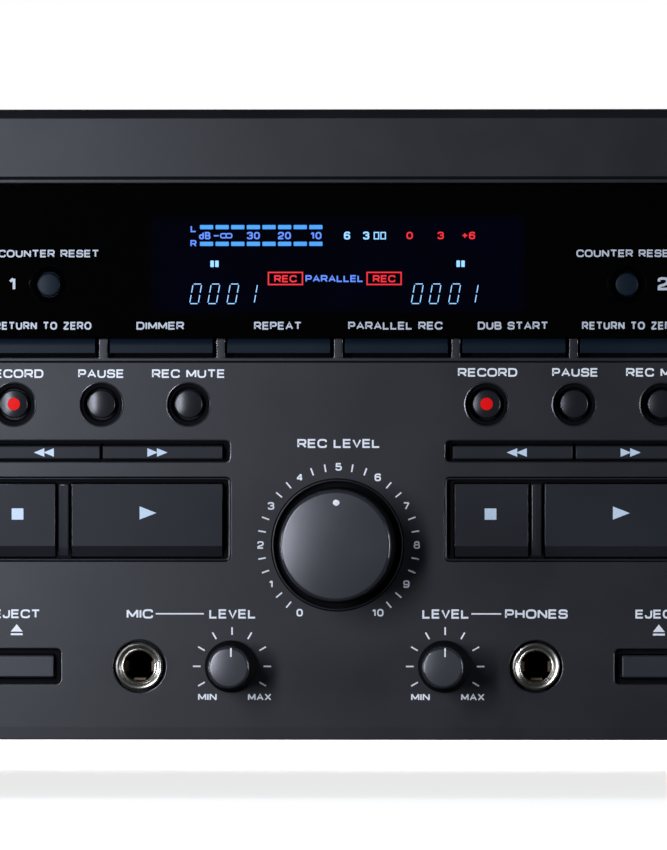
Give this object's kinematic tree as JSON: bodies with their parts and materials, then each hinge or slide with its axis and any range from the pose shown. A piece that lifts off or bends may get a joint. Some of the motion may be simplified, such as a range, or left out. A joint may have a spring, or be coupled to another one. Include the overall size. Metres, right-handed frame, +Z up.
{
  "type": "cassette deck",
  "caption": "Twin cassette deck with two tilting cassette doors, a fluorescent display, push buttons, level knobs, jack sockets and a steel case on feet.",
  "frame": {"origin": "on the surface the feet stand on, under the middle of the overall box", "axes": "+X to the right as seen from the front, +Y from the front panel to the rear, +Z up"},
  "size_m": [0.435, 0.286, 0.145],
  "materials": {
    "panel": "gunmetal paint with a fine satin texture",
    "keys": "satin charcoal plastic",
    "lens": "polished smoked acrylic",
    "window": "polished smoked acrylic",
    "knob": "satin dark grey plastic",
    "case": "black textured powder coat",
    "zinc": "zinc plated sheet",
    "nickel": "nickel plated",
    "rubber": "matte",
    "circuit": "solder-resist coated board",
    "moulding": "moulded black plastic",
    "iron": "varnished laminations and winding",
    "brass": "turned"
  },
  "bodies": {
    "case": {"front_panel": "panel", "display_lens": "lens", "bottom_chassis": "zinc", "top_cover": "case", "rear_panel": "case", "foot_front_left": "rubber", "foot_front_right": "rubber", "foot_rear_left": "rubber", "foot_rear_right": "rubber", "control_board": "circuit", "main_board": "circuit", "power_transformer": "iron", "mains_inlet": "moulding", "line_sockets": "moulding", "mic_jack": "nickel", "phones_jack": "nickel", "mechanism_frame_1": "zinc", "mechanism_frame_2": "zinc"},
    "record_level_knob": {"record_level_knob": "knob"},
    "mic_level_knob": {"mic_level_knob": "knob"},
    "phones_level_knob": {"phones_level_knob": "knob"},
    "return_to_zero_button_1": {"return_to_zero_button_1": "keys"},
    "dimmer_button": {"dimmer_button": "keys"},
    "repeat_button": {"repeat_button": "keys"},
    "parallel_record_button": {"parallel_record_button": "keys"},
    "dub_start_button": {"dub_start_button": "keys"},
    "return_to_zero_button_2": {"return_to_zero_button_2": "keys"},
    "power_button": {"power_button": "keys"},
    "counter_reset_button_1": {"counter_reset_button_1": "keys"},
    "record_button_1": {"record_button_1": "keys"},
    "pause_button_1": {"pause_button_1": "keys"},
    "record_mute_button_1": {"record_mute_button_1": "keys"},
    "rewind_button_1": {"rewind_button_1": "keys"},
    "fast_forward_button_1": {"fast_forward_button_1": "keys"},
    "stop_button_1": {"stop_button_1": "keys"},
    "play_button_1": {"play_button_1": "keys"},
    "eject_button_1": {"eject_button_1": "keys"},
    "cassette_door_1": {"cassette_door_1": "panel", "door_window_1": "window"},
    "supply_spindle_1": {"supply_spindle_1": "moulding"},
    "takeup_spindle_1": {"takeup_spindle_1": "moulding"},
    "capstan_flywheel_1": {"capstan_flywheel_1": "brass"},
    "head_base_1": {"head_base_1": "zinc"},
    "pinch_roller_1": {"pinch_roller_1": "rubber"},
    "counter_reset_button_2": {"counter_reset_button_2": "keys"},
    "record_button_2": {"record_button_2": "keys"},
    "pause_button_2": {"pause_button_2": "keys"},
    "record_mute_button_2": {"record_mute_button_2": "keys"},
    "rewind_button_2": {"rewind_button_2": "keys"},
    "fast_forward_button_2": {"fast_forward_button_2": "keys"},
    "stop_button_2": {"stop_button_2": "keys"},
    "play_button_2": {"play_button_2": "keys"},
    "eject_button_2": {"eject_button_2": "keys"},
    "cassette_door_2": {"cassette_door_2": "panel", "door_window_2": "window"},
    "supply_spindle_2": {"supply_spindle_2": "moulding"},
    "takeup_spindle_2": {"takeup_spindle_2": "moulding"},
    "capstan_flywheel_2": {"capstan_flywheel_2": "brass"},
    "head_base_2": {"head_base_2": "zinc"},
    "pinch_roller_2": {"pinch_roller_2": "rubber"}
  },
  "joints": [
    {"name": "record_level_knob_turn", "type": "hinge", "parent": "case", "child": "record_level_knob", "pos_m": [0, -0.134, 0.0538], "axis": [0, 1, 0], "range_deg": [-150, 150]},
    {"name": "mic_level_knob_turn", "type": "hinge", "parent": "case", "child": "mic_level_knob", "pos_m": [-0.0223, -0.134, 0.0284], "axis": [0, 1, 0], "range_deg": [-150, 150]},
    {"name": "phones_level_knob_turn", "type": "hinge", "parent": "case", "child": "phones_level_knob", "pos_m": [0.0223, -0.134, 0.0284], "axis": [0, 1, 0], "range_deg": [-150, 150]},
    {"name": "return_to_zero_button_1_press", "type": "slide", "parent": "case", "child": "return_to_zero_button_1", "axis": [0, 1, 0], "range_m": [0, 0.0012], "stiffness_N_per_m": 300},
    {"name": "dimmer_button_press", "type": "slide", "parent": "case", "child": "dimmer_button", "axis": [0, 1, 0], "range_m": [0, 0.0012], "stiffness_N_per_m": 300},
    {"name": "repeat_button_press", "type": "slide", "parent": "case", "child": "repeat_button", "axis": [0, 1, 0], "range_m": [0, 0.0012], "stiffness_N_per_m": 300},
    {"name": "parallel_record_button_press", "type": "slide", "parent": "case", "child": "parallel_record_button", "axis": [0, 1, 0], "range_m": [0, 0.0012], "stiffness_N_per_m": 300},
    {"name": "dub_start_button_press", "type": "slide", "parent": "case", "child": "dub_start_button", "axis": [0, 1, 0], "range_m": [0, 0.0012], "stiffness_N_per_m": 300},
    {"name": "return_to_zero_button_2_press", "type": "slide", "parent": "case", "child": "return_to_zero_button_2", "axis": [0, 1, 0], "range_m": [0, 0.0012], "stiffness_N_per_m": 300},
    {"name": "power_button_press", "type": "slide", "parent": "case", "child": "power_button", "axis": [0, 1, 0], "range_m": [0, 0.003], "stiffness_N_per_m": 300},
    {"name": "counter_reset_button_1_press", "type": "slide", "parent": "case", "child": "counter_reset_button_1", "axis": [0, 1, 0], "range_m": [0, 0.0012], "stiffness_N_per_m": 300},
    {"name": "record_button_1_press", "type": "slide", "parent": "case", "child": "record_button_1", "axis": [0, 1, 0], "range_m": [0, 0.0012], "stiffness_N_per_m": 300},
    {"name": "pause_button_1_press", "type": "slide", "parent": "case", "child": "pause_button_1", "axis": [0, 1, 0], "range_m": [0, 0.0012], "stiffness_N_per_m": 300},
    {"name": "record_mute_button_1_press", "type": "slide", "parent": "case", "child": "record_mute_button_1", "axis": [0, 1, 0], "range_m": [0, 0.0012], "stiffness_N_per_m": 300},
    {"name": "rewind_button_1_press", "type": "slide", "parent": "case", "child": "rewind_button_1", "axis": [0, 1, 0], "range_m": [0, 0.0012], "stiffness_N_per_m": 300},
    {"name": "fast_forward_button_1_press", "type": "slide", "parent": "case", "child": "fast_forward_button_1", "axis": [0, 1, 0], "range_m": [0, 0.0012], "stiffness_N_per_m": 300},
    {"name": "stop_button_1_press", "type": "slide", "parent": "case", "child": "stop_button_1", "axis": [0, 1, 0], "range_m": [0, 0.0012], "stiffness_N_per_m": 300},
    {"name": "play_button_1_press", "type": "slide", "parent": "case", "child": "play_button_1", "axis": [0, 1, 0], "range_m": [0, 0.0012], "stiffness_N_per_m": 300},
    {"name": "eject_button_1_press", "type": "slide", "parent": "case", "child": "eject_button_1", "axis": [0, 1, 0], "range_m": [0, 0.0025], "stiffness_N_per_m": 300},
    {"name": "cassette_door_1_open", "type": "hinge", "parent": "case", "child": "cassette_door_1", "pos_m": [-0.1465, -0.1235, 0.0445], "axis": [1, 0, 0], "range_deg": [0, 22]},
    {"name": "supply_spindle_1_turn", "type": "hinge", "parent": "case", "child": "supply_spindle_1", "pos_m": [-0.16775, -0.113, 0.085], "axis": [0, 1, 0], "continuous": true},
    {"name": "takeup_spindle_1_turn", "type": "hinge", "parent": "case", "child": "takeup_spindle_1", "pos_m": [-0.12525, -0.113, 0.085], "axis": [0, 1, 0], "continuous": true},
    {"name": "capstan_flywheel_1_turn", "type": "hinge", "parent": "case", "child": "capstan_flywheel_1", "pos_m": [-0.1209, -0.108, 0.0595], "axis": [0, 1, 0], "continuous": true},
    {"name": "head_base_1_lift", "type": "slide", "parent": "case", "child": "head_base_1", "axis": [0, 0, 1], "range_m": [0, 0.0054], "stiffness_N_per_m": 200},
    {"name": "pinch_roller_1_turn", "type": "hinge", "parent": "head_base_1", "child": "pinch_roller_1", "pos_m": [-0.1209, -0.1144, 0.0471], "axis": [0, 1, 0], "continuous": true},
    {"name": "counter_reset_button_2_press", "type": "slide", "parent": "case", "child": "counter_reset_button_2", "axis": [0, 1, 0], "range_m": [0, 0.0012], "stiffness_N_per_m": 300},
    {"name": "record_button_2_press", "type": "slide", "parent": "case", "child": "record_button_2", "axis": [0, 1, 0], "range_m": [0, 0.0012], "stiffness_N_per_m": 300},
    {"name": "pause_button_2_press", "type": "slide", "parent": "case", "child": "pause_button_2", "axis": [0, 1, 0], "range_m": [0, 0.0012], "stiffness_N_per_m": 300},
    {"name": "record_mute_button_2_press", "type": "slide", "parent": "case", "child": "record_mute_button_2", "axis": [0, 1, 0], "range_m": [0, 0.0012], "stiffness_N_per_m": 300},
    {"name": "rewind_button_2_press", "type": "slide", "parent": "case", "child": "rewind_button_2", "axis": [0, 1, 0], "range_m": [0, 0.0012], "stiffness_N_per_m": 300},
    {"name": "fast_forward_button_2_press", "type": "slide", "parent": "case", "child": "fast_forward_button_2", "axis": [0, 1, 0], "range_m": [0, 0.0012], "stiffness_N_per_m": 300},
    {"name": "stop_button_2_press", "type": "slide", "parent": "case", "child": "stop_button_2", "axis": [0, 1, 0], "range_m": [0, 0.0012], "stiffness_N_per_m": 300},
    {"name": "play_button_2_press", "type": "slide", "parent": "case", "child": "play_button_2", "axis": [0, 1, 0], "range_m": [0, 0.0012], "stiffness_N_per_m": 300},
    {"name": "eject_button_2_press", "type": "slide", "parent": "case", "child": "eject_button_2", "axis": [0, 1, 0], "range_m": [0, 0.0025], "stiffness_N_per_m": 300},
    {"name": "cassette_door_2_open", "type": "hinge", "parent": "case", "child": "cassette_door_2", "pos_m": [0.1465, -0.1235, 0.0445], "axis": [1, 0, 0], "range_deg": [0, 22]},
    {"name": "supply_spindle_2_turn", "type": "hinge", "parent": "case", "child": "supply_spindle_2", "pos_m": [0.12525, -0.113, 0.085], "axis": [0, 1, 0], "continuous": true},
    {"name": "takeup_spindle_2_turn", "type": "hinge", "parent": "case", "child": "takeup_spindle_2", "pos_m": [0.16775, -0.113, 0.085], "axis": [0, 1, 0], "continuous": true},
    {"name": "capstan_flywheel_2_turn", "type": "hinge", "parent": "case", "child": "capstan_flywheel_2", "pos_m": [0.1721, -0.108, 0.0595], "axis": [0, 1, 0], "continuous": true},
    {"name": "head_base_2_lift", "type": "slide", "parent": "case", "child": "head_base_2", "axis": [0, 0, 1], "range_m": [0, 0.0054], "stiffness_N_per_m": 200},
    {"name": "pinch_roller_2_turn", "type": "hinge", "parent": "head_base_2", "child": "pinch_roller_2", "pos_m": [0.1721, -0.1144, 0.0471], "axis": [0, 1, 0], "continuous": true}
  ]
}
